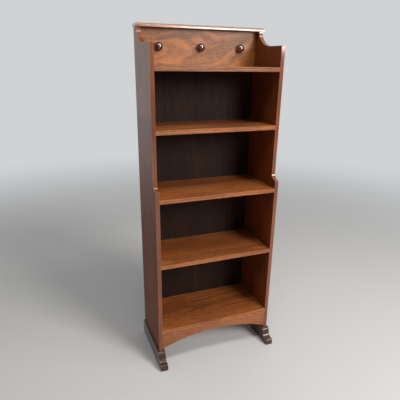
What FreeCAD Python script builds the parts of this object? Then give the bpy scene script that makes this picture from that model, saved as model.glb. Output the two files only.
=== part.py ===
import FreeCAD, Part
import math
import os

# Narrow open bookcase in oak: two shaped sides on sledge runners, four shelves and a
# display shelf between them, an arched apron, a boarded back and a small top board.
# Own frame, millimetres: X across the width, +Y to the back, +Z up.
# The origin is on the floor, in the middle of the width and of the runners' length.

# Overall sizes
WIDTH = 540.0            # over the outer faces of the two sides
LOWER_DEPTH = 262.0      # sides and shelves below the step
STEP = 32.0              # how far the upper stage stands back
TOP_DEPTH = 45.0         # sides where they meet the top board

# Board thicknesses
SIDE_T = 16.0
SHELF_T = 17.0
PANEL_T = 17.0
APRON_T = 18.0
BACK_T = 8.0
TOP_T = 13.0

# Heights, counted up from the floor
RUNNER_H = 69.0
BOTTOM_TOP = 175.0       # upper face of the bottom shelf
BAY_LOWEST = 298.0       # clear height of each bay, tallest at the bottom
BAY_LOW = 267.0
BAY_MID = 243.0
BAY_HIGH = 207.0
PANEL_H = 138.0          # knob panel between the display shelf and the top board

# Shaping of the sides
SHOULDER_RISE = 79.0     # level shoulder above the display shelf
CUT_LEN = 100.0          # hollow sweep from the shoulder up to the top board
NOTCH_RISE = 34.0        # step in the front edge above the middle shelf
NOTCH_CORNER = 5.0
SHOULDER_R = 2.0

# Joinery
HOUSING = 6.0            # depth of the shelf housings in the sides
STOP = 12.0              # housings stop this far behind the front edge
REBATE = 8.0             # width of the back rebates
TONGUE_T = 8.0           # tongue under each side, in the runner's groove
TONGUE_H = 15.0
TONGUE_INSET = 16.0
GROOVE_GAP = 0.5
APRON_TONGUE = 8.0

# Runners
RUNNER_T = 32.0
TOE_ROUND = 14.0         # quarter round below the side's front edge
TOE_HOLLOW_L = 24.0      # hollow that follows it
TOE_HOLLOW_H = 27.0
TOE_NOSE = 8.0           # rounded nose of the toe
TOE_FLAT = 4.0

# Apron
ARCH_END = 79.0          # height of the lower edge at the sides
ARCH_RISE = 49.0

# Top board
TOP_OVERHANG = 5.0       # past each side
TOP_FRONT = 5.0          # past the front of the sides
TOP_ROUND = 9.0

# Knobs
KNOB_R = 16.0
KNOB_OUT = 24.0          # how far a knob stands out from the panel
KNOB_SPACING = 178.0
KNOB_DROP = 67.4         # knob centres below the top board
KNOB_FOOT = (0.6, 3.0)   # turned profile: share of the radius, distance out
KNOB_WAIST = (0.5, 5.0)
KNOB_NECK = (0.62, 7.6)
KNOB_SWELL = (0.94, 9.8)
KNOB_RIM = 12.6          # widest point, where the dome starts
SPIGOT_R = 5.0
SPIGOT_L = 14.0

# Fixings
CLEAR = 0.3              # all round a turned or drilled fit
HEAD_WIDTH = 2.0         # screw head over its shank
HEAD_DEPTH = 1.2         # countersink over the shank's radius
BACK_BOARDS = 5
LIP = 5.0                # tongue of one back board in the next
LIP_T = 2.6
BACK_SCREW_R = 1.5
BACK_SCREW_L = 22.0
TOP_SCREW_R = 1.9
TOP_SCREW_L = 32.0
PANEL_SCREW_X = 118.8    # from the middle
PELLET_R = 4.5
PELLET_T = 5.0
RUNNER_SCREW_R = 2.25
RUNNER_BORE_R = 6.0
RUNNER_BORE_H = 34.0
RUNNER_SCREW_L = 66.0
RUNNER_HEAD_T = 3.0
RUNNER_SCREWS = (65.5, 196.5)     # depths in front of the back edge
BLOCK_LEG = 22.0
BLOCK_LEN = 60.0
BLOCK_PITCH = 189.0

# Derived positions
RUNNER_LEN = LOWER_DEPTH + TOE_ROUND + TOE_HOLLOW_L + TOE_FLAT + TOE_NOSE
BACK_Y = RUNNER_LEN / 2.0
OUTER = WIDTH / 2.0
INNER = OUTER - SIDE_T
MID_X = OUTER - SIDE_T / 2.0
UPPER_DEPTH = LOWER_DEPTH - STEP
NOTCH_R = STEP - NOTCH_CORNER - 1.0
SHELF_LOWER = BOTTOM_TOP + BAY_LOWEST + SHELF_T
SHELF_MIDDLE = SHELF_LOWER + BAY_LOW + SHELF_T
SHELF_UPPER = SHELF_MIDDLE + BAY_MID + SHELF_T
DISPLAY = SHELF_UPPER + BAY_HIGH + SHELF_T
SIDE_TOP = DISPLAY + PANEL_H
HEIGHT = SIDE_TOP + TOP_T
SHOULDER = DISPLAY + SHOULDER_RISE
NOTCH_Z = SHELF_MIDDLE + NOTCH_RISE
BOTTOM_UNDER = BOTTOM_TOP - SHELF_T
DISPLAY_UNDER = DISPLAY - SHELF_T

X_AXIS = FreeCAD.Vector(1, 0, 0)
Y_AXIS = FreeCAD.Vector(0, 1, 0)
Z_AXIS = FreeCAD.Vector(0, 0, 1)


def at(x, d, z):
    """Point from x, the depth d in front of the back edge, and the height z."""
    return FreeCAD.Vector(x, BACK_Y - d, z)


def board(x0, x1, d0, d1, z0, z1):
    """Plain board between two widths, two depths and two heights."""
    return Part.makeBox(x1 - x0, d1 - d0, z1 - z0, at(x0, d1, z0))


def line(a, b):
    return Part.makeLine(a, b)


def round_edge(centre, radius, start, end):
    """Quarter circle in the depth-height plane, between two points round a centre."""
    half = (start - centre) + (end - centre)
    half.normalize()
    return Part.Arc(start, centre + half * radius, end).toShape()


def hollow(centre, start, end):
    """Quarter ellipse round a centre; start and end are on its two axes."""
    a = start - centre
    b = end - centre
    if a.Length >= b.Length:
        curve = Part.Ellipse(start, end, centre)
    else:
        curve = Part.Ellipse(end, start, centre)
    return Part.ArcOfEllipse(curve, 0.0, math.pi / 2.0).toShape()


def prism(edges, x0, x1):
    """Outline drawn at x0, carried across to x1."""
    wire = Part.Wire(Part.__sortEdges__(edges))
    return Part.Face(wire).extrude(FreeCAD.Vector(x1 - x0, 0, 0))


def mirrored(shape):
    return shape.mirror(FreeCAD.Vector(0, 0, 0), X_AXIS)


def row(count, pitch):
    """Evenly spaced positions about the middle."""
    return [(i - (count - 1) / 2.0) * pitch for i in range(count)]


# Shelves: (name, height of the upper face, depth at the front, depth at the back)
SHELVES = [
    ("bottom_shelf", BOTTOM_TOP, LOWER_DEPTH, BACK_T),
    ("shelf_lower", SHELF_LOWER, LOWER_DEPTH, BACK_T),
    ("shelf_middle", SHELF_MIDDLE, LOWER_DEPTH, BACK_T),
    ("shelf_upper", SHELF_UPPER, UPPER_DEPTH, BACK_T),
    ("display_shelf", DISPLAY, UPPER_DEPTH, 0.0),
]
SCREWED = SHELVES[:4]    # the shelves that the back boards are screwed to

# Back boards
BACK_PITCH = 2.0 * (INNER + REBATE) / BACK_BOARDS
BACK_X = row(BACK_BOARDS, BACK_PITCH)
LIP_D = (BACK_T - LIP_T) / 2.0

# Screws down through the top board: two in the panel, two in the sides
TOP_SCREWS = [
    (-MID_X, TOP_DEPTH / 2.0),
    (-PANEL_SCREW_X, PANEL_T / 2.0),
    (PANEL_SCREW_X, PANEL_T / 2.0),
    (MID_X, TOP_DEPTH / 2.0),
]
BLOCK_X = row(3, BLOCK_PITCH)
KNOB_X = row(3, KNOB_SPACING)
KNOB_Z = SIDE_TOP - KNOB_DROP


def countersunk(radius, length, top, down):
    """Countersunk screw: flat head at top, shank running along the direction down."""
    head = Part.makeCone(HEAD_WIDTH * radius, radius, HEAD_DEPTH * radius, top, down)
    shank = Part.makeCylinder(radius, length, top, down)
    return head.fuse(shank).removeSplitter()


def countersunk_hole(radius, length, top, down):
    """The same form, larger all round, to let a countersunk screw in."""
    grown = radius + CLEAR
    sink = Part.makeCone(HEAD_WIDTH * radius + CLEAR, grown, HEAD_DEPTH * radius, top, down)
    bore = Part.makeCylinder(grown, length + CLEAR, top, down)
    return sink.fuse(bore)


def back_screw_points():
    points = []
    for name, upper, front, back in SCREWED:
        for x in BACK_X:
            points.append(at(x, 0.0, upper - SHELF_T / 2.0))
    return points


def make_side():
    """Right-hand side, standing with its inner face towards the middle."""
    low = at(INNER, 0.0, RUNNER_H)
    toe = at(INNER, LOWER_DEPTH, RUNNER_H)
    c0 = at(INNER, LOWER_DEPTH, NOTCH_Z - NOTCH_CORNER)
    c1 = at(INNER, LOWER_DEPTH - NOTCH_CORNER, NOTCH_Z)
    n0 = at(INNER, UPPER_DEPTH + NOTCH_R, NOTCH_Z)
    n1 = at(INNER, UPPER_DEPTH, NOTCH_Z + NOTCH_R)
    s0 = at(INNER, UPPER_DEPTH, SHOULDER - SHOULDER_R)
    s1 = at(INNER, UPPER_DEPTH - SHOULDER_R, SHOULDER)
    k0 = at(INNER, TOP_DEPTH + CUT_LEN, SHOULDER)
    k1 = at(INNER, TOP_DEPTH, SIDE_TOP)
    back = at(INNER, 0.0, SIDE_TOP)
    edges = [
        line(low, toe),
        line(toe, c0),
        round_edge(at(INNER, LOWER_DEPTH - NOTCH_CORNER, NOTCH_Z - NOTCH_CORNER),
                   NOTCH_CORNER, c0, c1),
        line(c1, n0),
        round_edge(at(INNER, UPPER_DEPTH + NOTCH_R, NOTCH_Z + NOTCH_R), NOTCH_R, n0, n1),
        line(n1, s0),
        round_edge(at(INNER, UPPER_DEPTH - SHOULDER_R, SHOULDER - SHOULDER_R),
                   SHOULDER_R, s0, s1),
        line(s1, k0),
        hollow(at(INNER, TOP_DEPTH + CUT_LEN, SIDE_TOP), k1, k0),
        line(k1, back),
        line(back, low),
    ]
    side = prism(edges, INNER, OUTER)
    tongue = board(MID_X - TONGUE_T / 2.0, MID_X + TONGUE_T / 2.0,
                   TONGUE_INSET, LOWER_DEPTH - TONGUE_INSET, RUNNER_H - TONGUE_H, RUNNER_H)
    side = side.fuse(tongue).removeSplitter()
    for name, upper, front, rear in SHELVES:
        side = side.cut(board(INNER, INNER + HOUSING, rear, front - STOP, upper - SHELF_T, upper))
    side = side.cut(board(INNER, INNER + REBATE, 0.0, BACK_T, BOTTOM_UNDER, DISPLAY_UNDER))
    side = side.cut(board(INNER, INNER + REBATE, 0.0, PANEL_T, DISPLAY, SIDE_TOP))
    middle = LOWER_DEPTH - APRON_T / 2.0
    side = side.cut(board(INNER, INNER + HOUSING, middle - APRON_TONGUE / 2.0,
                          middle + APRON_TONGUE / 2.0, ARCH_END + STOP, BOTTOM_UNDER - HOUSING))
    for d in RUNNER_SCREWS:
        start = at(MID_X, d, RUNNER_H - TONGUE_H)
        reach = RUNNER_BORE_H + RUNNER_SCREW_L - (RUNNER_H - TONGUE_H) + CLEAR
        side = side.cut(Part.makeCylinder(RUNNER_SCREW_R + CLEAR, reach, start, Z_AXIS))
    x, d = TOP_SCREWS[-1]
    depth = TOP_SCREW_L - (TOP_T - PELLET_T) + CLEAR
    side = side.cut(Part.makeCylinder(TOP_SCREW_R + CLEAR, depth, at(x, d, SIDE_TOP), -Z_AXIS))
    return side


def make_runner():
    """Right-hand sledge runner with its moulded toe."""
    x0 = MID_X - RUNNER_T / 2.0
    x1 = MID_X + RUNNER_T / 2.0
    step_d = LOWER_DEPTH + TOE_ROUND
    step_z = RUNNER_H - TOE_ROUND
    hollow_d = step_d + TOE_HOLLOW_L
    hollow_z = step_z - TOE_HOLLOW_H
    nose_d = RUNNER_LEN - TOE_NOSE
    p = [
        at(x0, 0.0, 0.0),
        at(x0, 0.0, RUNNER_H),
        at(x0, LOWER_DEPTH, RUNNER_H),
        at(x0, step_d, step_z),
        at(x0, hollow_d, hollow_z),
        at(x0, nose_d, hollow_z),
        at(x0, RUNNER_LEN, hollow_z - TOE_NOSE),
        at(x0, RUNNER_LEN, 0.0),
    ]
    edges = [
        line(p[0], p[1]),
        line(p[1], p[2]),
        round_edge(at(x0, LOWER_DEPTH, step_z), TOE_ROUND, p[2], p[3]),
        hollow(at(x0, hollow_d, step_z), p[4], p[3]),
        line(p[4], p[5]),
        round_edge(at(x0, nose_d, hollow_z - TOE_NOSE), TOE_NOSE, p[5], p[6]),
        line(p[6], p[7]),
        line(p[7], p[0]),
    ]
    runner = prism(edges, x0, x1)
    groove = board(MID_X - TONGUE_T / 2.0, MID_X + TONGUE_T / 2.0, TONGUE_INSET,
                   LOWER_DEPTH - TONGUE_INSET, RUNNER_H - TONGUE_H - GROOVE_GAP, RUNNER_H)
    runner = runner.cut(groove)
    for d in RUNNER_SCREWS:
        foot = at(MID_X, d, 0.0)
        runner = runner.cut(Part.makeCylinder(RUNNER_BORE_R, RUNNER_BORE_H, foot, Z_AXIS))
        runner = runner.cut(Part.makeCylinder(RUNNER_SCREW_R + CLEAR, RUNNER_H, foot, Z_AXIS))
    return runner


def make_shelf(upper, front, rear, screwed):
    """Shelf with its front corners notched round the stopped housings."""
    shelf = board(-INNER - HOUSING, INNER + HOUSING, rear, front - STOP, upper - SHELF_T, upper)
    nosing = board(-INNER, INNER, front - STOP, front, upper - SHELF_T, upper)
    shelf = shelf.fuse(nosing).removeSplitter()
    if screwed:
        for x in BACK_X:
            hole = Part.makeCylinder(BACK_SCREW_R + CLEAR, BACK_SCREW_L + CLEAR,
                                     at(x, 0.0, upper - SHELF_T / 2.0), -Y_AXIS)
            shelf = shelf.cut(hole)
    return shelf


def make_apron():
    """Arched rail under the bottom shelf, flush with the front edges."""
    d0 = LOWER_DEPTH - APRON_T
    blank = board(-INNER, INNER, d0, LOWER_DEPTH, ARCH_END, BOTTOM_UNDER)
    radius = (INNER ** 2 + ARCH_RISE ** 2) / (2.0 * ARCH_RISE)
    crown = ARCH_END + ARCH_RISE
    drum = Part.makeCylinder(radius, APRON_T, at(0.0, LOWER_DEPTH, crown - radius), Y_AXIS)
    apron = blank.cut(drum)
    middle = LOWER_DEPTH - APRON_T / 2.0
    tongue = board(-INNER - HOUSING, -INNER, middle - APRON_TONGUE / 2.0,
                   middle + APRON_TONGUE / 2.0, ARCH_END + STOP, BOTTOM_UNDER - HOUSING)
    return apron.fuse([tongue, mirrored(tongue)]).removeSplitter()


def make_top():
    """Top board, its upper edge rounded along the front and both ends."""
    reach = OUTER + TOP_OVERHANG
    top = board(-reach, reach, 0.0, TOP_DEPTH + TOP_FRONT, SIDE_TOP, HEIGHT)
    rounded = []
    for edge in top.Edges:
        box = edge.BoundBox
        upper = box.ZMin > HEIGHT - 0.01
        behind = box.YMin > BACK_Y - 0.01
        if upper and not behind:
            rounded.append(edge)
    top = top.makeFillet(TOP_ROUND, rounded)
    for x, d in TOP_SCREWS:
        seat = at(x, d, HEIGHT)
        top = top.cut(Part.makeCylinder(PELLET_R + CLEAR, PELLET_T, seat, -Z_AXIS))
        top = top.cut(countersunk_hole(TOP_SCREW_R, TOP_T, at(x, d, HEIGHT - PELLET_T), -Z_AXIS))
    return top


def make_panel():
    """Upright panel behind the display shelf, which carries the knobs."""
    reach = INNER + REBATE
    panel = board(-reach, reach, 0.0, PANEL_T, DISPLAY, SIDE_TOP)
    for x in KNOB_X:
        socket = Part.makeCylinder(SPIGOT_R + CLEAR, SPIGOT_L + CLEAR,
                                   at(x, PANEL_T, KNOB_Z), Y_AXIS)
        panel = panel.cut(socket)
    depth = TOP_SCREW_L - (TOP_T - PELLET_T) + CLEAR
    for x, d in TOP_SCREWS[1:3]:
        panel = panel.cut(Part.makeCylinder(TOP_SCREW_R + CLEAR, depth, at(x, d, SIDE_TOP),
                                            -Z_AXIS))
    return panel


def make_knob(x):
    """Turned knob: spigot, foot, waist and a domed face."""
    def p(radius, out):
        return at(x + radius, PANEL_T + out, KNOB_Z)

    def turned(point):
        return p(point[0] * KNOB_R, point[1])

    foot = turned(KNOB_FOOT)
    foot_start = turned((KNOB_FOOT[0], 0.0))
    neck = turned(KNOB_NECK)
    rim = p(KNOB_R, KNOB_RIM)
    waist = Part.Arc(foot, turned(KNOB_WAIST), neck).toShape()
    flare = Part.Arc(neck, turned(KNOB_SWELL), rim).toShape()
    rise = KNOB_OUT - KNOB_RIM
    ball = (KNOB_R ** 2 + rise ** 2) / (2.0 * rise)
    half_angle = math.asin(KNOB_R / ball) / 2.0
    crest = p(ball * math.sin(half_angle), KNOB_OUT - ball + ball * math.cos(half_angle))
    dome = Part.Arc(rim, crest, p(0.0, KNOB_OUT)).toShape()
    edges = [
        line(p(0.0, -SPIGOT_L), p(SPIGOT_R, -SPIGOT_L)),
        line(p(SPIGOT_R, -SPIGOT_L), p(SPIGOT_R, 0.0)),
        line(p(SPIGOT_R, 0.0), foot_start),
        line(foot_start, foot),
        waist,
        flare,
        dome,
        line(p(0.0, KNOB_OUT), p(0.0, -SPIGOT_L)),
    ]
    half = Part.Face(Part.Wire(Part.__sortEdges__(edges)))
    return half.revolve(at(x, 0.0, KNOB_Z), Y_AXIS, 360)


def make_back_board(index):
    """One tongued and grooved board of the back."""
    x = BACK_X[index]
    half = BACK_PITCH / 2.0
    piece = board(x - half, x + half, 0.0, BACK_T, BOTTOM_UNDER, DISPLAY_UNDER)
    if index < BACK_BOARDS - 1:
        lip = board(x + half, x + half + LIP, LIP_D, BACK_T - LIP_D, BOTTOM_UNDER, DISPLAY_UNDER)
        piece = piece.fuse(lip).removeSplitter()
    if index > 0:
        piece = piece.cut(board(x - half, x - half + LIP + CLEAR, LIP_D - CLEAR,
                                BACK_T - LIP_D + CLEAR, BOTTOM_UNDER, DISPLAY_UNDER))
    for name, upper, front, rear in SCREWED:
        head = at(x, 0.0, upper - SHELF_T / 2.0)
        piece = piece.cut(countersunk_hole(BACK_SCREW_R, BACK_T, head, -Y_AXIS))
    return piece


def make_block(x):
    """Triangular glue block in the corner behind the apron and under the shelf."""
    d = LOWER_DEPTH - APRON_T
    a = at(x - BLOCK_LEN / 2.0, d, BOTTOM_UNDER)
    b = at(x - BLOCK_LEN / 2.0, d - BLOCK_LEG, BOTTOM_UNDER)
    c = at(x - BLOCK_LEN / 2.0, d, BOTTOM_UNDER - BLOCK_LEG)
    return prism([line(a, b), line(b, c), line(c, a)], a.x, a.x + BLOCK_LEN)


def make_runner_screw(x, d):
    """Round-headed screw up through a runner into the foot of a side."""
    seat = at(x, d, RUNNER_BORE_H)
    head = Part.makeCylinder(HEAD_WIDTH * RUNNER_SCREW_R, RUNNER_HEAD_T, seat, -Z_AXIS)
    shank = Part.makeCylinder(RUNNER_SCREW_R, RUNNER_SCREW_L, seat, Z_AXIS)
    return head.fuse(shank).removeSplitter()


nodes = {}
side_right = make_side()
nodes["side_right"] = side_right
nodes["side_left"] = mirrored(side_right)
runner_right = make_runner()
nodes["runner_right"] = runner_right
nodes["runner_left"] = mirrored(runner_right)
for name, upper, front, rear in SHELVES:
    nodes[name] = make_shelf(upper, front, rear, rear > 0.0)
nodes["apron"] = make_apron()
nodes["top_board"] = make_top()
nodes["knob_panel"] = make_panel()
for name, x in zip(("knob_left", "knob_middle", "knob_right"), KNOB_X):
    nodes[name] = make_knob(x)
for index in range(BACK_BOARDS):
    nodes["back_board_%d" % (index + 1)] = make_back_board(index)

back_screws = [countersunk(BACK_SCREW_R, BACK_SCREW_L, p, -Y_AXIS) for p in back_screw_points()]
nodes["back_screws"] = Part.makeCompound(back_screws)
top_screws = []
top_pellets = []
for x, d in TOP_SCREWS:
    head = at(x, d, HEIGHT - PELLET_T)
    top_screws.append(countersunk(TOP_SCREW_R, TOP_SCREW_L, head, -Z_AXIS))
    top_pellets.append(Part.makeCylinder(PELLET_R, PELLET_T, head, Z_AXIS))
nodes["top_screws"] = Part.makeCompound(top_screws)
nodes["top_pellets"] = Part.makeCompound(top_pellets)
runner_screws = []
for x in (-MID_X, MID_X):
    for d in RUNNER_SCREWS:
        runner_screws.append(make_runner_screw(x, d))
nodes["runner_screws"] = Part.makeCompound(runner_screws)
nodes["glue_blocks"] = Part.makeCompound([make_block(x) for x in BLOCK_X])

os.makedirs("parts", exist_ok=True)
for name, shape in nodes.items():
    shape.exportStep("parts/%s.step" % name)
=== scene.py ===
import bmesh
import bpy
import math
from mathutils import Matrix, Vector


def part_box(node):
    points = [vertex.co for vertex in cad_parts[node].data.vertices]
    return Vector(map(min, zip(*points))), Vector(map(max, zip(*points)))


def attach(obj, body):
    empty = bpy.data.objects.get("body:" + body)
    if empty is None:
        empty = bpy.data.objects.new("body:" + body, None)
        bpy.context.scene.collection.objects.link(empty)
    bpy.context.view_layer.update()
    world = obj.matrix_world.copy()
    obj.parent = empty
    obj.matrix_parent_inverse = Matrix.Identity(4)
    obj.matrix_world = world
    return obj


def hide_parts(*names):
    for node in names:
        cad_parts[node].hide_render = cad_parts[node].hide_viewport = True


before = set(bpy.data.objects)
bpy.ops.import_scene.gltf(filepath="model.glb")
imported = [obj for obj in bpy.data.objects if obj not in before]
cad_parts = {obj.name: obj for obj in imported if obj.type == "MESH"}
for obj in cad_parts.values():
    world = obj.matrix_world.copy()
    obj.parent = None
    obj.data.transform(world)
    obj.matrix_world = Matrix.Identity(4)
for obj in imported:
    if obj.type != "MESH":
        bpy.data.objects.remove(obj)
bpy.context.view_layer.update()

# Metres throughout. X runs across the bookcase, +Y to the back and +Z up.
WORN = (0.4, 0.135, 0.035)      # oak where hands have rubbed the stain thin
PORE = (0.018, 0.006, 0.003)    # dark wax in the open pores
DUST = (0.34, 0.3, 0.26)
PALE = (0.63, 0.645, 0.66)      # floor and backdrop
EDGE_POLISH = 0.65              # coat on the narrow edges of the sides
NEXT_TREE = 1.7                 # along the grain, from the figure of one board to the next
KNOB_RIM = 0.0126               # widest point of a knob, out from the panel
SPIGOT_SHARE = 0.3              # spigot's radius over the knob's
SCREW_SHANK = 0.0015            # radii and lengths of the countersunk back screws
SCREW_HEAD = 0.003
SCREW_HEAD_HEIGHT = 0.0018
SCREW_LENGTH = 0.022
SCREW_SLOT = 0.0008


# ---------------------------------------------------------------- node helpers

def add(tree, kind, inputs=None, **settings):
    """Adds a node, sets its properties, and gives its inputs a value or a link."""
    made = tree.nodes.new(kind)
    for name, value in settings.items():
        setattr(made, name, value)
    for key, value in (inputs or {}).items():
        if isinstance(value, bpy.types.NodeSocket):
            tree.links.new(value, made.inputs[key])
        else:
            made.inputs[key].default_value = value
    return made


def maths(tree, operation, a, b=0.0, c=0.0, clamp=False):
    """Result of one sum; for MULTIPLY_ADD it is a times b, plus c."""
    return add(tree, "ShaderNodeMath", {0: a, 1: b, 2: c}, operation=operation,
               use_clamp=clamp).outputs[0]


def ramped(tree, value, low, high, start=0.0, end=1.0):
    """Value carried smoothly from low..high to start..end."""
    return add(tree, "ShaderNodeMapRange",
               {"Value": value, "From Min": low, "From Max": high, "To Min": start, "To Max": end},
               interpolation_type="SMOOTHSTEP").outputs["Result"]


def blended(tree, factor, a, b):
    """Colour a turning into colour b as the factor goes from 0 to 1."""
    made = add(tree, "ShaderNodeMix", data_type="RGBA")
    for socket, value in ((0, factor), (6, a), (7, b)):
        if isinstance(value, bpy.types.NodeSocket):
            tree.links.new(value, made.inputs[socket])
        elif socket == 0:
            made.inputs[socket].default_value = value
        else:
            made.inputs[socket].default_value = (*value, 1.0)
    return made.outputs[2]


def stretched(tree, vector, along):
    """Vector squeezed along the grain, so that a pattern draws out into fibres."""
    return add(tree, "ShaderNodeVectorMath", {0: vector, 1: (1.0, 1.0, along)},
               operation="MULTIPLY").outputs["Vector"]


def noise(tree, vector, scale, detail=2.0, rough=0.5, distortion=0.0):
    return add(tree, "ShaderNodeTexNoise",
               {"Vector": vector, "Scale": scale, "Detail": detail, "Roughness": rough,
                "Distortion": distortion})


def new_group(name, inputs, outputs):
    """Shader group with named sockets: (name, type, default) in, (name, type) out."""
    group = bpy.data.node_groups.new(name, "ShaderNodeTree")
    for label, kind, value in inputs:
        socket = group.interface.new_socket(label, in_out="INPUT", socket_type=kind)
        if value is not None:
            socket.default_value = value
    for label, kind in outputs:
        group.interface.new_socket(label, in_out="OUTPUT", socket_type=kind)
    start = group.nodes.new("NodeGroupInput")
    end = group.nodes.new("NodeGroupOutput")
    return group, start.outputs, end.inputs


FLOAT = "NodeSocketFloat"
VECTOR = "NodeSocketVector"


# ---------------------------------------------------------------- shared effects

def make_oak_figure():
    """Growth rings round a heart, open pores, ray flecks and soft stain clouds.

    The vector has the grain along its Z. The heart is the centre of the tree in X and Y.
    """
    group, given, out = new_group(
        "oak figure",
        [("Vector", VECTOR, None), ("Heart X", FLOAT, 0.1), ("Heart Y", FLOAT, -0.2),
         ("Ring Width", FLOAT, 0.006), ("Wander", FLOAT, 0.03), ("Swirl", FLOAT, 0.22),
         ("Cloud Scale", FLOAT, 9.0)],
        [("Rings", FLOAT), ("Pores", FLOAT), ("Flecks", FLOAT), ("Clouds", FLOAT),
         ("Streaks", FLOAT)])
    vector = given["Vector"]
    slowed = add(group, "ShaderNodeCombineXYZ", {"X": 1.0, "Y": 1.0, "Z": given["Swirl"]})
    eased_off = add(group, "ShaderNodeVectorMath", {0: vector, 1: slowed.outputs[0]},
                    operation="MULTIPLY")
    slow = noise(group, eased_off.outputs["Vector"], 5.0, 2.0)
    drift = add(group, "ShaderNodeVectorMath",
                {0: slow.outputs["Color"], 1: (0.5, 0.5, 0.5)}, operation="SUBTRACT")
    moved = add(group, "ShaderNodeVectorMath",
                {0: drift.outputs["Vector"], "Scale": given["Wander"]}, operation="SCALE")
    heart = add(group, "ShaderNodeCombineXYZ", {"X": given["Heart X"], "Y": given["Heart Y"]})
    placed = add(group, "ShaderNodeVectorMath", {0: vector, 1: heart.outputs[0]},
                 operation="SUBTRACT")
    wandering = add(group, "ShaderNodeVectorMath",
                    {0: placed.outputs["Vector"], 1: moved.outputs["Vector"]}, operation="ADD")
    flat = add(group, "ShaderNodeVectorMath",
               {0: wandering.outputs["Vector"], 1: (1.0, 1.0, 0.0)}, operation="MULTIPLY")
    radius = add(group, "ShaderNodeVectorMath", {0: flat.outputs["Vector"]}, operation="LENGTH")
    turns = maths(group, "DIVIDE", radius.outputs["Value"], given["Ring Width"])
    phase = maths(group, "FRACT", turns)
    early = ramped(group, phase, 0.0, 0.12)
    late = ramped(group, phase, 0.3, 1.0, 1.0, 0.0)
    rings = maths(group, "MULTIPLY", early, late)

    fibre = noise(group, stretched(group, vector, 0.03), 1100.0, 1.0)
    clusters = maths(group, "MULTIPLY_ADD", rings, 0.16, -0.64)
    dashes = maths(group, "ADD", fibre.outputs["Fac"], clusters)
    pores = ramped(group, dashes, 0.0, 0.07)

    ribbon = noise(group, stretched(group, vector, 0.3), 85.0, 2.0, 0.45, 1.2)
    flecks = ramped(group, ribbon.outputs["Fac"], 0.62, 0.7)
    cloud = noise(group, stretched(group, vector, 0.4), given["Cloud Scale"], 2.0)
    clouds = ramped(group, cloud.outputs["Fac"], 0.35, 0.65)
    streak = noise(group, stretched(group, vector, 0.035), 150.0, 3.0, 0.6)
    streaks = ramped(group, streak.outputs["Fac"], 0.3, 0.7)
    for name, value in (("Rings", rings), ("Pores", pores), ("Flecks", flecks),
                        ("Clouds", clouds), ("Streaks", streaks)):
        group.links.new(value, out[name])
    return group


def make_edge_wear():
    """Mask of the arrises, where polish and hands have worn the stain."""
    group, given, out = new_group(
        "edge wear", [("Vector", VECTOR, None), ("Radius", FLOAT, 0.004),
                      ("Patchiness", FLOAT, 0.6)],
        [("Mask", FLOAT)])
    rounded = add(group, "ShaderNodeBevel", {"Radius": given["Radius"]}, samples=6)
    plain = add(group, "ShaderNodeNewGeometry")
    facing = add(group, "ShaderNodeVectorMath",
                 {0: rounded.outputs["Normal"], 1: plain.outputs["Normal"]},
                 operation="DOT_PRODUCT")
    bend = ramped(group, facing.outputs["Value"], 0.995, 0.88)
    patches = noise(group, given["Vector"], 28.0, 3.0)
    broken = ramped(group, patches.outputs["Fac"], 0.38, 0.62)
    kept = maths(group, "SUBTRACT", 1.0, given["Patchiness"])
    spread = maths(group, "MULTIPLY_ADD", broken, given["Patchiness"], kept)
    group.links.new(maths(group, "MULTIPLY", bend, spread, clamp=True), out["Mask"])
    return group


def make_dust():
    """Thin dust on what faces up, thicker in the corners."""
    group, given, out = new_group(
        "settled dust", [("Vector", VECTOR, None), ("Amount", FLOAT, 0.3)], [("Mask", FLOAT)])
    surface = add(group, "ShaderNodeNewGeometry")
    parts = add(group, "ShaderNodeSeparateXYZ", {0: surface.outputs["Normal"]})
    upward = ramped(group, parts.outputs["Z"], 0.6, 1.0)
    corner = add(group, "ShaderNodeAmbientOcclusion", {"Distance": 0.05}, samples=6)
    hidden = ramped(group, corner.outputs["AO"], 1.0, 0.45, 0.25, 1.0)
    specks = noise(group, given["Vector"], 90.0, 4.0, 0.65)
    broken = ramped(group, specks.outputs["Fac"], 0.35, 0.75)
    both = maths(group, "MULTIPLY", upward, hidden)
    spread = maths(group, "MULTIPLY", both, broken)
    group.links.new(maths(group, "MULTIPLY", spread, given["Amount"], clamp=True), out["Mask"])
    return group


OAK_FIGURE = make_oak_figure()
EDGE_WEAR = make_edge_wear()
SETTLED_DUST = make_dust()

# Order of the object's axes as (across, through, along) the grain of a board
GRAIN = {
    "upright": ("Y", "X", "Z"),      # sides: grain up, width front to back
    "matchboard": ("X", "Y", "Z"),   # back boards: grain up, width across
    "shelf": ("Y", "Z", "X"),        # grain across the bookcase, lying flat
    "rail": ("Z", "Y", "X"),         # grain across the bookcase, on edge
    "runner": ("Z", "X", "Y"),       # grain front to back
    "turned": ("X", "Z", "Y"),
    "plug": ("X", "Z", "Y"),
}


def board_vector(tree, grain, shift):
    """Object coordinates turned so that the grain runs along Z, moved to another board."""
    coordinates = add(tree, "ShaderNodeTexCoord")
    parts = add(tree, "ShaderNodeSeparateXYZ", {0: coordinates.outputs["Object"]})
    across, through, along = GRAIN[grain]
    turned = add(tree, "ShaderNodeCombineXYZ",
                 {"X": parts.outputs[across], "Y": parts.outputs[through],
                  "Z": parts.outputs[along]})
    moved = add(tree, "ShaderNodeVectorMath", {0: turned.outputs[0], 1: shift}, operation="ADD")
    return moved.outputs["Vector"], coordinates.outputs["Object"]


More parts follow.
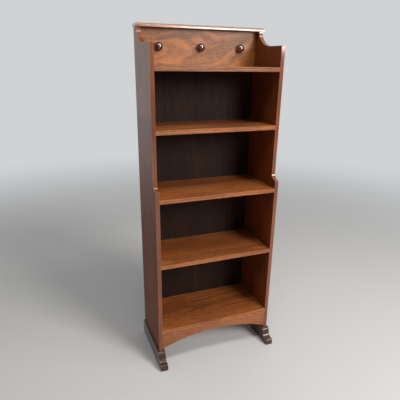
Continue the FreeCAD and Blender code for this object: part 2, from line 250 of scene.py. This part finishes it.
def oak(name, grain, dark, mid, light, seed=0, heart=(0.05, -0.16), ring=0.007, wander=0.05,
        swirl=0.22, clouds=9.0, figure_depth=0.28, pores=0.7, relief=1.0, gloss=0.36, coat=0.25,
        coat_rough=0.16, coat_ior=1.5, ior=1.5, fade=None, wear=0.45, dust=0.2):
    """Stained and polished oak for one board.

    Relief is how open the grain feels. Fade is a pair of heights between which the polish of
    a side's flat faces thins out downwards; its narrow edges keep theirs.
    """
    material = bpy.data.materials.new(name)
    material.use_nodes = True
    tree = material.node_tree
    shader = tree.nodes["Principled BSDF"]
    vector, place = board_vector(tree, grain, (0.0, 0.0, NEXT_TREE * seed))
    figure = add(tree, "ShaderNodeGroup", node_tree=OAK_FIGURE)
    tree.links.new(vector, figure.inputs["Vector"])
    for label, value in (("Heart X", heart[0]), ("Heart Y", heart[1]), ("Ring Width", ring),
                         ("Wander", wander), ("Swirl", swirl), ("Cloud Scale", clouds)):
        figure.inputs[label].default_value = value
    rubbed = add(tree, "ShaderNodeGroup", node_tree=EDGE_WEAR)
    tree.links.new(place, rubbed.inputs["Vector"])
    settled = add(tree, "ShaderNodeGroup", node_tree=SETTLED_DUST)
    tree.links.new(place, settled.inputs["Vector"])
    settled.inputs["Amount"].default_value = dust

    body = blended(tree, figure.outputs["Clouds"], mid, light)
    ring_tint = maths(tree, "MULTIPLY", figure.outputs["Rings"], figure_depth)
    body = blended(tree, ring_tint, body, dark)
    streaked = maths(tree, "MULTIPLY", figure.outputs["Streaks"], 0.5 * figure_depth)
    body = blended(tree, streaked, body, dark)
    rays = maths(tree, "MULTIPLY", figure.outputs["Flecks"], 0.3)
    body = blended(tree, rays, body, light)
    body = blended(tree, maths(tree, "MULTIPLY", figure.outputs["Pores"], pores), body, PORE)
    body = blended(tree, maths(tree, "MULTIPLY", rubbed.outputs["Mask"], wear), body, WORN)
    body = blended(tree, settled.outputs["Mask"], body, DUST)
    tree.links.new(body, shader.inputs["Base Color"])

    rough = maths(tree, "MULTIPLY_ADD", figure.outputs["Pores"], 0.25 * relief, gloss)
    dusty = maths(tree, "MULTIPLY_ADD", settled.outputs["Mask"], 0.5, rough)
    tree.links.new(dusty, shader.inputs["Roughness"])
    shader.inputs["Coat Weight"].default_value = coat
    if fade:
        height = add(tree, "ShaderNodeSeparateXYZ", {0: place}).outputs["Z"]
        thinned = ramped(tree, height, *fade, 0.0, coat)
        facing = add(tree, "ShaderNodeNewGeometry").outputs["Normal"]
        sideways = add(tree, "ShaderNodeSeparateXYZ", {0: facing}).outputs["X"]
        flat = ramped(tree, maths(tree, "ABSOLUTE", sideways), 0.9, 0.99)
        less = maths(tree, "SUBTRACT", thinned, EDGE_POLISH)
        tree.links.new(maths(tree, "MULTIPLY_ADD", flat, less, EDGE_POLISH),
                       shader.inputs["Coat Weight"])
    shader.inputs["Coat Roughness"].default_value = coat_rough
    shader.inputs["Coat IOR"].default_value = coat_ior
    shader.inputs["IOR"].default_value = ior

    sunk = maths(tree, "MULTIPLY", figure.outputs["Pores"], -1.0 * relief)
    height = maths(tree, "MULTIPLY_ADD", figure.outputs["Rings"], -0.3 * relief, sunk)
    bump = add(tree, "ShaderNodeBump", {"Strength": 0.5, "Distance": 0.0003, "Height": height})
    tree.links.new(bump.outputs["Normal"], shader.inputs["Normal"])
    return material


def screw_steel():
    """Old steel screws: dull, with brown rust in patches."""
    material = bpy.data.materials.new("old steel")
    material.use_nodes = True
    tree = material.node_tree
    shader = tree.nodes["Principled BSDF"]
    coordinates = add(tree, "ShaderNodeTexCoord").outputs["Object"]
    patches = noise(tree, coordinates, 420.0, 4.0, 0.7)
    rust = ramped(tree, patches.outputs["Fac"], 0.45, 0.62)
    colour = blended(tree, rust, (0.3, 0.28, 0.26), (0.13, 0.055, 0.025))
    tree.links.new(colour, shader.inputs["Base Color"])
    tree.links.new(ramped(tree, rust, 0.0, 1.0, 0.38, 0.8), shader.inputs["Roughness"])
    tree.links.new(ramped(tree, rust, 0.0, 1.0, 1.0, 0.2), shader.inputs["Metallic"])
    return material


# ---------------------------------------------------------------- boards from the frame

def cleaned(node):
    """Merged copy of a CAD node, its flat faces made whole again."""
    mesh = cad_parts[node].data.copy()
    mesh.materials.clear()
    work = bmesh.new()
    work.from_mesh(mesh)
    bmesh.ops.remove_doubles(work, verts=work.verts, dist=0.00002)
    bmesh.ops.dissolve_limit(work, angle_limit=math.radians(0.5), verts=work.verts,
                             edges=work.edges, use_dissolve_boundaries=False)
    for face in work.faces:
        face.smooth = True
    for edge in work.edges:
        edge.smooth = edge.is_manifold and edge.calc_face_angle(0.0) < math.radians(25.0)
    work.to_mesh(mesh)
    work.free()
    return mesh


def eased(node, material, radius=0.001, segments=3):
    """A board with its sharp arrises taken off, in place of its CAD node."""
    piece = bpy.data.objects.new(node + "_board", cleaned(node))
    bpy.context.scene.collection.objects.link(piece)
    piece.data.materials.append(material)
    soften = piece.modifiers.new("eased arrises", "BEVEL")
    soften.width = radius
    soften.segments = segments
    soften.limit_method = "ANGLE"
    soften.angle_limit = math.radians(35.0)
    soften.use_clamp_overlap = True
    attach(piece, "root")
    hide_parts(node)
    return piece


# Stains, each as dark, middle and light tones of the same board; those of the sides and the top
# are partly painted shade, and that of the back is painted shade
# The sides' stain: their darker oak, and partly painted shade, darkened to match faces that stand
# sideways to the light
side_stain_and_shade = dict(dark=(0.05, 0.014, 0.005), mid=(0.15, 0.036, 0.009), light=(0.2, 0.05, 0.012))
warm_stain = dict(dark=(0.13, 0.042, 0.012), mid=(0.32, 0.085, 0.016), light=(0.43, 0.13, 0.022))
# A darker copy of the warm stain for the display shelf and top board: painted shade against the
# stronger light near the top
top_stain_and_shade = dict(dark=(0.1, 0.032, 0.009), mid=(0.25, 0.066, 0.012), light=(0.33, 0.095, 0.016))
panel_stain = dict(dark=(0.2, 0.09, 0.045), mid=(0.3, 0.11, 0.036), light=(0.43, 0.14, 0.025))
toe_stain = dict(dark=(0.018, 0.007, 0.005), mid=(0.055, 0.019, 0.011),
                 light=(0.08, 0.027, 0.015))
# Near-black tone of the back boards and glue blocks: painted shade for the dark inside of the bays
back_painted_shade = dict(dark=(0.008, 0.003, 0.002), mid=(0.018, 0.007, 0.004),
                  light=(0.026, 0.011, 0.006))

# Finishes that two boards share
side_finish = dict(gloss=0.48, coat=0.34, fade=(0.5, 1.2), coat_rough=0.09, coat_ior=1.7,
                   ior=1.3, figure_depth=0.1, pores=0.2, relief=0.12, wear=0.6)
toe_finish = dict(ring=0.004, gloss=0.3, coat=0.55, coat_rough=0.14, ior=1.35, relief=0.4,
                  radius=0.0018)

# node: grain, stain, record slot, and what is special about that board
BOARDS = {
    # The sides take their stain with its painted shade
    "side_left": ("upright", side_stain_and_shade, "dark_oak",
                  dict(side_finish, heart=(0.02, -0.42), ring=0.009)),
    "side_right": ("upright", side_stain_and_shade, "dark_oak",
                   dict(side_finish, heart=(-0.03, 0.45), ring=0.01)),
    "runner_left": ("runner", toe_stain, "polished_oak", dict(toe_finish, heart=(0.1, -0.3))),
    "runner_right": ("runner", toe_stain, "polished_oak", dict(toe_finish, heart=(0.12, 0.3))),
    "bottom_shelf": ("shelf", warm_stain, "warm_oak", dict(heart=(0.03, 0.05))),
    "shelf_lower": ("shelf", warm_stain, "warm_oak", dict(heart=(-0.06, 0.4))),
    "shelf_middle": ("shelf", warm_stain, "warm_oak", dict(heart=(0.05, 0.66), ring=0.006)),
    "shelf_upper": ("shelf", warm_stain, "warm_oak", dict(heart=(0.0, 0.93), ring=0.008)),
    # The display shelf and the top board take the darker copy of the stain, which is painted shade
    "display_shelf": ("shelf", top_stain_and_shade, "warm_oak", dict(heart=(0.06, 1.1), gloss=0.3)),
    "apron": ("rail", warm_stain, "warm_oak",
              dict(heart=(0.3, -0.2), ring=0.008, swirl=0.5, wander=0.09)),
    "top_board": ("shelf", top_stain_and_shade, "dark_oak",
                  dict(heart=(0.13, 1.3), ring=0.006, gloss=0.3, coat=0.9, coat_rough=0.2,
                       coat_ior=1.7, relief=0.4, radius=0.0008)),
    "knob_panel": ("rail", panel_stain, "warm_oak",
                   dict(heart=(1.3, 0.16), ring=0.022, wander=0.2, swirl=0.45, clouds=24.0,
                        gloss=0.44, coat=0.1, ior=1.4, figure_depth=0.34, pores=0.5,
                        relief=0.4, radius=0.0008)),
}

for index, (node, row) in enumerate(BOARDS.items()):
    grain, stain, record_slot, special = row
    radius = special.pop("radius", 0.0012)
    board = oak(node.replace("_", " ") + " oak", grain, seed=index + 1, **stain, **special)
    eased(node, board, radius)

# The back boards take the near-black painted-shade tone
for index in range(5):
    node = "back_board_%d" % (index + 1)
    low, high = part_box(node)
    middle = (low.x + high.x) / 2.0
    board = oak("matchboard %d" % (index + 1), "matchboard", seed=20 + index,
                heart=(middle + 0.02 * (index - 2), 0.2), gloss=0.7, coat=0.0, ior=1.3,
                wear=0.0, dust=0.1, relief=0.5, **back_painted_shade)
    eased(node, board, 0.0012)

# The glue blocks take the same painted-shade tone
blocks = oak("glue block wood", "shelf", seed=30, gloss=0.6, coat=0.0, wear=0.1, dust=0.1,
             **back_painted_shade)
eased("glue_blocks", blocks, 0.0008)
# The pellets take the sides' stain with its painted shade
plugs = oak("pellet oak", "plug", seed=31, **side_stain_and_shade)
eased("top_pellets", plugs, 0.0003, 1)


# ---------------------------------------------------------------- turned knobs and screws

def geometry_group(name, inputs):
    """Geometry Nodes tree with a geometry in and out and the named inputs after it."""
    group = bpy.data.node_groups.new(name, "GeometryNodeTree")
    group.interface.new_socket("Geometry", in_out="INPUT", socket_type="NodeSocketGeometry")
    for label, kind, value in inputs:
        socket = group.interface.new_socket(label, in_out="INPUT", socket_type=kind)
        if value is not None:
            socket.default_value = value
    group.interface.new_socket("Geometry", in_out="OUTPUT", socket_type="NodeSocketGeometry")
    start = group.nodes.new("NodeGroupInput")
    end = group.nodes.new("NodeGroupOutput")
    return group, start.outputs, end.inputs


def grown(name, points, group, values):
    """Plain mesh that the tree grows on the given points, with its inputs set by name."""
    seeds = bpy.data.meshes.new(name + " points")
    seeds.from_pydata([tuple(point) for point in points], [], [])
    carrier = bpy.data.objects.new(name + " points", seeds)
    bpy.context.scene.collection.objects.link(carrier)
    modifier = carrier.modifiers.new(name, "NODES")
    modifier.node_group = group
    for item in group.interface.items_tree:
        if item.item_type == "SOCKET" and item.in_out == "INPUT" and item.name in values:
            modifier[item.identifier] = values[item.name]
    evaluated = carrier.evaluated_get(bpy.context.evaluated_depsgraph_get())
    mesh = bpy.data.meshes.new_from_object(evaluated)
    mesh.name = name
    bpy.data.objects.remove(carrier)
    work = bmesh.new()
    work.from_mesh(mesh)
    bmesh.ops.remove_doubles(work, verts=work.verts, dist=0.000005)
    bmesh.ops.recalc_face_normals(work, faces=work.faces)
    work.to_mesh(mesh)
    work.free()
    piece = bpy.data.objects.new(name, mesh)
    bpy.context.scene.collection.objects.link(piece)
    return piece


def make_knob_tree():
    """Turned knob on each point: a spine along -Y whose radius follows the turner's profile."""
    group, given, out = geometry_group("turned knob", [
        ("Radius", FLOAT, 0.016), ("Reach", FLOAT, 0.024), ("Rim", FLOAT, KNOB_RIM),
        ("Spigot", FLOAT, 0.014), ("Segments", "NodeSocketInt", 48),
        ("Material", "NodeSocketMaterial", None)])
    spine = add(group, "GeometryNodeCurvePrimitiveLine", {"End": (0.0, -1.0, 0.0)})
    many = add(group, "GeometryNodeResampleCurve", {"Curve": spine.outputs[0], "Count": 110})
    along = add(group, "GeometryNodeSplineParameter")
    swept = maths(group, "SINE", maths(group, "MULTIPLY", along.outputs["Factor"], math.pi / 2.0))
    whole = maths(group, "ADD", given["Reach"], given["Spigot"])
    out_by = maths(group, "SUBTRACT", maths(group, "MULTIPLY", swept, whole), given["Spigot"])
    spot = add(group, "ShaderNodeCombineXYZ", {"Y": maths(group, "MULTIPLY", out_by, -1.0)})
    set_place = add(group, "GeometryNodeSetPosition",
                    {"Geometry": many.outputs[0], "Position": spot.outputs[0]})
    position = add(group, "GeometryNodeInputPosition").outputs[0]
    here = add(group, "ShaderNodeSeparateXYZ", {0: position})
    reached = maths(group, "MULTIPLY", here.outputs["Y"], -1.0)
    # the ball that the dome is part of
    rise = maths(group, "SUBTRACT", given["Reach"], given["Rim"])
    squares = maths(group, "ADD", maths(group, "POWER", given["Radius"], 2.0),
                    maths(group, "POWER", rise, 2.0))
    ball = maths(group, "DIVIDE", squares, maths(group, "MULTIPLY", rise, 2.0))
    centre = maths(group, "SUBTRACT", given["Reach"], ball)
    from_centre = maths(group, "SUBTRACT", reached, centre)
    under = maths(group, "SUBTRACT", maths(group, "POWER", ball, 2.0),
                  maths(group, "POWER", maths(group, "ABSOLUTE", from_centre), 2.0))
    dome = maths(group, "SQRT", maths(group, "MAXIMUM", under, 0.00000001))
    # spigot, foot, waist and flare, as a share of the radius over a share of the rim height
    share = maths(group, "DIVIDE", reached, given["Rim"])
    turned = add(group, "ShaderNodeFloatCurve", {"Value": share})
    profile = turned.mapping.curves[0]
    points = [(0.0, 0.58), (0.2, 0.6), (0.28, 0.52), (0.42, 0.5), (0.6, 0.62), (0.78, 0.9),
              (0.92, 0.99), (1.0, 1.0)]
    profile.points[0].location = points[0]
    profile.points[1].location = points[-1]
    for point in points[1:-1]:
        profile.points.new(*point)
    turned.mapping.update()
    stem = maths(group, "MULTIPLY", turned.outputs[0], given["Radius"])
    inside = maths(group, "LESS_THAN", reached, 0.0)
    spigot = maths(group, "MULTIPLY", given["Radius"], SPIGOT_SHARE)
    past_rim = maths(group, "GREATER_THAN", reached, given["Rim"])
    outer = add(group, "GeometryNodeSwitch", input_type="FLOAT")
    group.links.new(past_rim, outer.inputs[0])
    group.links.new(stem, outer.inputs[1])
    group.links.new(dome, outer.inputs[2])
    radius = add(group, "GeometryNodeSwitch", input_type="FLOAT")
    group.links.new(inside, radius.inputs[0])
    group.links.new(outer.outputs[0], radius.inputs[1])
    group.links.new(spigot, radius.inputs[2])
    ring = add(group, "GeometryNodeCurvePrimitiveCircle", {"Resolution": given["Segments"],
                                                           "Radius": 1.0})
    skin = add(group, "GeometryNodeCurveToMesh",
               {"Curve": set_place.outputs[0], "Profile Curve": ring.outputs[0],
                "Scale": radius.outputs[0], "Fill Caps": True})
    smooth = add(group, "GeometryNodeSetShadeSmooth", {"Geometry": skin.outputs[0]})
    placed = add(group, "GeometryNodeInstanceOnPoints",
                 {"Points": given["Geometry"], "Instance": smooth.outputs[0]})
    real = add(group, "GeometryNodeRealizeInstances", {"Geometry": placed.outputs[0]})
    painted = add(group, "GeometryNodeSetMaterial",
                  {"Geometry": real.outputs[0], "Material": given["Material"]})
    group.links.new(painted.outputs[0], out["Geometry"])
    return group


def make_screw_tree():
    """Slotted screw on each point, its head facing out, its slot turned at random."""
    group, given, out = geometry_group("slotted screw", [
        ("Shank Radius", FLOAT, SCREW_SHANK), ("Head Radius", FLOAT, SCREW_HEAD),
        ("Head Height", FLOAT, SCREW_HEAD_HEIGHT), ("Length", FLOAT, SCREW_LENGTH),
        ("Slot", FLOAT, SCREW_SLOT),
        ("Turn", "NodeSocketRotation", None), ("Seed", "NodeSocketInt", 3),
        ("Material", "NodeSocketMaterial", None)])
    head = add(group, "GeometryNodeMeshCone",
               {"Vertices": 32, "Radius Top": given["Head Radius"],
                "Radius Bottom": given["Shank Radius"], "Depth": given["Head Height"]})
    lowered = add(group, "ShaderNodeCombineXYZ",
                  {"Z": maths(group, "MULTIPLY", given["Head Height"], -1.0)})
    head_down = add(group, "GeometryNodeTransform",
                    {"Geometry": head.outputs["Mesh"], "Translation": lowered.outputs[0]})
    shank = add(group, "GeometryNodeMeshCylinder",
                {"Vertices": 24, "Radius": given["Shank Radius"],
                 "Depth": maths(group, "SUBTRACT", given["Length"], given["Head Height"])})
    middle = maths(group, "MULTIPLY", maths(group, "ADD", given["Length"], given["Head Height"]),
                   -0.5)
    shank_place = add(group, "ShaderNodeCombineXYZ", {"Z": middle})
    shank_down = add(group, "GeometryNodeTransform",
                     {"Geometry": shank.outputs["Mesh"], "Translation": shank_place.outputs[0]})
    slot_size = add(group, "ShaderNodeCombineXYZ",
                    {"X": maths(group, "MULTIPLY", given["Head Radius"], 3.0),
                     "Y": given["Slot"], "Z": given["Head Height"]})
    slot = add(group, "GeometryNodeMeshCube", {"Size": slot_size.outputs[0]})
    cut = add(group, "GeometryNodeMeshBoolean", operation="DIFFERENCE", solver="EXACT")
    group.links.new(head_down.outputs[0], cut.inputs["Mesh 1"])
    group.links.new(slot.outputs[0], cut.inputs["Mesh 2"])
    join = add(group, "GeometryNodeJoinGeometry")
    group.links.new(shank_down.outputs[0], join.inputs[0])
    group.links.new(cut.outputs[0], join.inputs[0])
    flat = add(group, "GeometryNodeSetShadeSmooth",
               {"Geometry": join.outputs[0], "Shade Smooth": False})
    placed = add(group, "GeometryNodeInstanceOnPoints",
                 {"Points": given["Geometry"], "Instance": flat.outputs[0],
                  "Rotation": given["Turn"]})
    spin = add(group, "FunctionNodeRandomValue", {"Seed": given["Seed"]}, data_type="FLOAT")
    angle = maths(group, "MULTIPLY", spin.outputs[1], math.pi)
    spun = add(group, "ShaderNodeCombineXYZ", {"Z": angle})
    turned = add(group, "GeometryNodeRotateInstances",
                 {"Instances": placed.outputs[0], "Rotation": spun.outputs[0]})
    real = add(group, "GeometryNodeRealizeInstances", {"Geometry": turned.outputs[0]})
    painted = add(group, "GeometryNodeSetMaterial",
                  {"Geometry": real.outputs[0], "Material": given["Material"]})
    group.links.new(painted.outputs[0], out["Geometry"])
    return group


def turned_knobs(material):
    """The three knobs of the panel, in one mesh."""
    panel_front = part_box("knob_panel")[0].y
    centres = []
    for node in ("knob_left", "knob_middle", "knob_right"):
        low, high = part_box(node)
        centres.append(Vector(((low.x + high.x) / 2.0, panel_front, (low.z + high.z) / 2.0)))
    low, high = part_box("knob_middle")
    radius = (high.x - low.x) / 2.0
    knobs = grown("turned_knobs", centres, make_knob_tree(), {
        "Radius": radius, "Reach": panel_front - low.y, "Rim": KNOB_RIM,
        "Spigot": high.y - panel_front, "Segments": 64, "Material": material})
    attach(knobs, "root")
    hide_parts("knob_left", "knob_middle", "knob_right")


def slotted_screws(material):
    """Countersunk screws of the back, a row along each shelf; the other screws get the steel."""
    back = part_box("back_screws")[1].y
    last_left, last_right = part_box("back_board_5")
    half_board = (last_right.x - last_left.x) / 2.0
    heads = []
    for node in ("bottom_shelf", "shelf_lower", "shelf_middle", "shelf_upper"):
        low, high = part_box(node)
        for index in range(5):
            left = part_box("back_board_%d" % (index + 1))[0].x
            heads.append(Vector((left + half_board, back, (low.z + high.z) / 2.0)))
    screws = grown("back_wood_screws", heads, make_screw_tree(), {
        "Shank Radius": SCREW_SHANK, "Head Radius": SCREW_HEAD, "Head Height": SCREW_HEAD_HEIGHT,
        "Length": SCREW_LENGTH, "Slot": SCREW_SLOT, "Turn": (-math.pi / 2.0, 0.0, 0.0),
        "Seed": 3, "Material": material})
    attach(screws, "root")
    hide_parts("back_screws")
    for node in ("top_screws", "runner_screws"):
        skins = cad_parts[node].data.materials
        skins.clear()
        skins.append(material)


turned_knobs(oak("knob polish", "turned", seed=32, ring=0.003, gloss=0.2, coat=1.0,
                 coat_rough=0.07, coat_ior=2.0, relief=0.1, wear=0.2, dust=0.0, **toe_stain))
slotted_screws(screw_steel())


# ---------------------------------------------------------------- floor, light, camera

def make_floor():
    """Pale floor that keeps its shadows near the bookcase and fades into the backdrop."""
    bpy.ops.mesh.primitive_circle_add(vertices=96, radius=9.0, fill_type="NGON")
    floor = bpy.context.object
    floor.name = "floor"
    material = bpy.data.materials.new("pale floor")
    material.use_nodes = True
    tree = material.node_tree
    shader = tree.nodes["Principled BSDF"]
    shader.inputs["Base Color"].default_value = (0.62, 0.622, 0.625, 1.0)
    shader.inputs["Roughness"].default_value = 0.6
    coordinates = add(tree, "ShaderNodeTexCoord").outputs["Object"]
    reach = add(tree, "ShaderNodeVectorMath", {0: coordinates}, operation="LENGTH")
    far = ramped(tree, reach.outputs["Value"], 1.4, 4.5)
    path = add(tree, "ShaderNodeLightPath")
    seen = maths(tree, "ADD", path.outputs["Is Camera Ray"], path.outputs["Is Glossy Ray"],
                 clamp=True)
    seen = maths(tree, "ADD", seen, path.outputs["Is Transmission Ray"], clamp=True)
    glow = add(tree, "ShaderNodeEmission", {"Color": (*PALE, 1.0), "Strength": 1.0})
    mixed = add(tree, "ShaderNodeMixShader",
                {0: maths(tree, "MULTIPLY", far, seen), 1: shader.outputs["BSDF"],
                 2: glow.outputs["Emission"]})
    tree.links.new(mixed.outputs[0], tree.nodes["Material Output"].inputs["Surface"])
    floor.data.materials.append(material)


def make_world():
    """Soft even light from all round; a pale backdrop, with the studio dim behind the camera."""
    world = bpy.data.worlds.new("studio")
    bpy.context.scene.world = world
    world.use_nodes = True
    tree = world.node_tree
    tree.nodes.clear()
    way = add(tree, "ShaderNodeTexCoord").outputs["Generated"]
    parts = add(tree, "ShaderNodeSeparateXYZ", {0: way})
    behind = ramped(tree, parts.outputs["Y"], -0.75, 0.3)
    walls = blended(tree, behind, (0.09, 0.085, 0.08), (0.78, 0.79, 0.8))
    path = add(tree, "ShaderNodeLightPath")
    clear = maths(tree, "ADD", path.outputs["Is Camera Ray"],
                  path.outputs["Is Transmission Ray"], clamp=True)
    soft = add(tree, "ShaderNodeBackground", {"Color": (1.0, 0.99, 0.98, 1.0), "Strength": 0.3})
    mirrored = add(tree, "ShaderNodeBackground", {"Color": walls, "Strength": 1.0})
    pale = add(tree, "ShaderNodeBackground", {"Color": (*PALE, 1.0), "Strength": 1.0})
    glossy = add(tree, "ShaderNodeMixShader",
                 {0: path.outputs["Is Glossy Ray"], 1: soft.outputs[0], 2: mirrored.outputs[0]})
    mixed = add(tree, "ShaderNodeMixShader", {0: clear, 1: glossy.outputs[0], 2: pale.outputs[0]})
    output = add(tree, "ShaderNodeOutputWorld")
    tree.links.new(mixed.outputs[0], output.inputs["Surface"])


def lamp(name, place, aim, width, height, power):
    """Soft box of a width and height, hung at a place and turned to what it lights."""
    data = bpy.data.lights.new(name, "AREA")
    data.shape = "RECTANGLE"
    data.size = width
    data.size_y = height
    data.energy = power
    data.color = (1.0, 0.975, 0.94)
    made = bpy.data.objects.new(name, data)
    bpy.context.scene.collection.objects.link(made)
    made.location = place
    made.rotation_euler = (Vector(aim) - Vector(place)).to_track_quat("-Z", "Y").to_euler()


def make_camera(place, turn, dip, roll, lens, shift_y):
    """Camera from its place, its turn towards +X from +Y, its dip and its roll, in degrees."""
    turn, dip, roll = (math.radians(angle) for angle in (turn, dip, roll))
    forward = Vector((math.sin(turn) * math.cos(dip), math.cos(turn) * math.cos(dip),
                      -math.sin(dip)))
    right = Vector((math.cos(turn), -math.sin(turn), 0.0))
    up = right.cross(forward)
    level_right, level_up = right, up
    right = math.cos(roll) * level_right + math.sin(roll) * level_up
    up = -math.sin(roll) * level_right + math.cos(roll) * level_up
    data = bpy.data.cameras.new("camera")
    data.sensor_width = 36.0
    data.lens = lens
    data.shift_y = shift_y
    made = bpy.data.objects.new("camera", data)
    bpy.context.scene.collection.objects.link(made)
    made.matrix_world = Matrix((
        (right.x, up.x, -forward.x, place[0]),
        (right.y, up.y, -forward.y, place[1]),
        (right.z, up.z, -forward.z, place[2]),
        (0.0, 0.0, 0.0, 1.0)))
    bpy.context.scene.camera = made


make_floor()
make_world()
lamp("window", (1.45, -2.75, 2.15), (0.0, 0.0, 0.6), 1.2, 1.2, 100.0)
lamp("ceiling", (0.2, -0.95, 2.95), (0.0, 0.0, 0.8), 2.4, 0.4, 30.0)
make_camera((-0.648, -1.532, 1.2706), 21.487, 20.913, 0.841, 36.4, 0.0433)
bpy.context.scene.view_settings.view_transform = "Standard"
